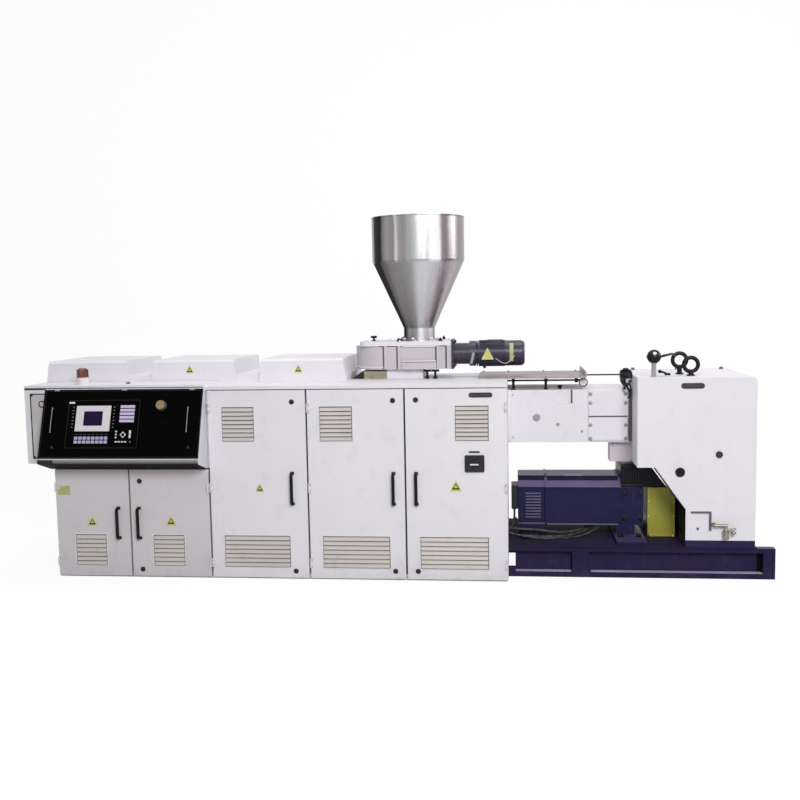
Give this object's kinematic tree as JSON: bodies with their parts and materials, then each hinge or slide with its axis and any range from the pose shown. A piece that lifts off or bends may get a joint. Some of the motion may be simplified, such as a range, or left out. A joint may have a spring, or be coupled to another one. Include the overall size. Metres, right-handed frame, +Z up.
{
  "type": "plastic extruder",
  "caption": "Twin-screw plastic extruder with white cabinets, sloped operator console, steel feed hopper, gearbox and motor on a navy base frame.",
  "frame": {"origin": "centre of the whole machine's box, on the floor", "axes": "+X along the machine from the head end to the drive end, +Y from the operator's side to the rear, +Z up"},
  "size_m": [4.898, 1.2, 2.391],
  "materials": {
    "door_handle": "moulded black",
    "white_paint": "satin powder coat",
    "console_black": "black overlay film",
    "stop_button": "moulded gold yellow",
    "beacon_white": "moulded white",
    "beacon_amber": "tinted amber",
    "navy_paint": "satin enamel",
    "dark_motor": "dark enamel",
    "hopper_steel": "rolled and brushed",
    "zinc_steel": "plated sheet",
    "black_iron": "black oxide",
    "brass_parts": "dull brass",
    "guard_yellow": "olive yellow enamel",
    "grey_paint": "grey enamel",
    "switch_black": "moulded black",
    "lead_rubber": "sheathed cable"
  },
  "bodies": {
    "machine": {"barrel_end_flange": "zinc_steel", "barrel_hoods": "white_paint", "barrel_housing": "white_paint", "beacon_base": "beacon_white", "beacon_dome": "beacon_amber", "breather": "black_iron", "cabinet_floor": "white_paint", "cabinet_roof": "white_paint", "cabinet_walls": "white_paint", "clamp_bolts": "black_iron", "console_housing": "white_paint", "console_panel": "console_black", "coupling_guard": "guard_yellow", "deck_plate": "navy_paint", "drain_valve": "brass_parts", "emergency_stop": "stop_button", "eye_bolts": "black_iron", "feed_block": "brass_parts", "feed_throat": "white_paint", "feeder_gear_unit": "dark_motor", "feeder_housing": "white_paint", "feeder_knob": "black_iron", "feeder_motor": "dark_motor", "feeder_top_plate": "white_paint", "frame_cross_member": "navy_paint", "frame_end_beam": "navy_paint", "frame_front_beam": "navy_paint", "frame_rear_beam": "navy_paint", "gearbox_housing": "white_paint", "gearbox_plinth": "navy_paint", "gearbox_plugs": "black_iron", "head_cover": "white_paint", "head_housing": "white_paint", "hinge_brackets": "zinc_steel", "hood_strip": "white_paint", "hopper": "hopper_steel", "lantern_covers": "white_paint", "lantern_housing": "white_paint", "lantern_support": "grey_paint", "lubrication_line": "black_iron", "machine_leads": "lead_rubber", "main_motor": "navy_paint", "motor_cap": "dark_motor", "motor_junction_box": "black_iron", "oil_manifold": "black_iron", "operator_display": "console_black", "rear_base": "white_paint", "service_tray": "zinc_steel"},
    "switch_knob": {"main_switch_knob": "switch_black"},
    "door_1_leaf": {"door_1": "white_paint", "door_1_handle": "door_handle"},
    "door_2_leaf": {"door_2": "white_paint", "door_2_handle": "door_handle"},
    "door_3_leaf": {"door_3": "white_paint", "door_3_handle": "door_handle"},
    "door_4_leaf": {"door_4": "white_paint", "door_4_handle": "door_handle"},
    "door_5_leaf": {"door_5": "white_paint", "door_5_handle": "door_handle", "main_switch_base": "switch_black"}
  },
  "joints": [
    {"name": "door_1_hinge", "type": "hinge", "parent": "machine", "child": "door_1_leaf", "pos_m": [-2.259, -0.417, 0.3745], "axis": [0, 0, -1], "range_deg": [0, 110]},
    {"name": "door_2_hinge", "type": "hinge", "parent": "machine", "child": "door_2_leaf", "pos_m": [-1.213, -0.417, 0.3745], "axis": [0, 0, 1], "range_deg": [0, 85]},
    {"name": "door_3_hinge", "type": "hinge", "parent": "machine", "child": "door_3_leaf", "pos_m": [-1.189, -0.417, 0.635], "axis": [0, 0, -1], "range_deg": [0, 85]},
    {"name": "door_4_hinge", "type": "hinge", "parent": "machine", "child": "door_4_leaf", "pos_m": [-0.529, -0.417, 0.635], "axis": [0, 0, -1], "range_deg": [0, 95]},
    {"name": "door_5_hinge", "type": "hinge", "parent": "machine", "child": "door_5_leaf", "pos_m": [0.743, -0.417, 0.635], "axis": [0, 0, 1], "range_deg": [0, 110]},
    {"name": "main_switch_turn", "type": "hinge", "parent": "door_5_leaf", "child": "switch_knob", "pos_m": [0.545, -0.426, 0.7745], "axis": [0, 1, 0], "range_deg": [0, 90]}
  ]
}
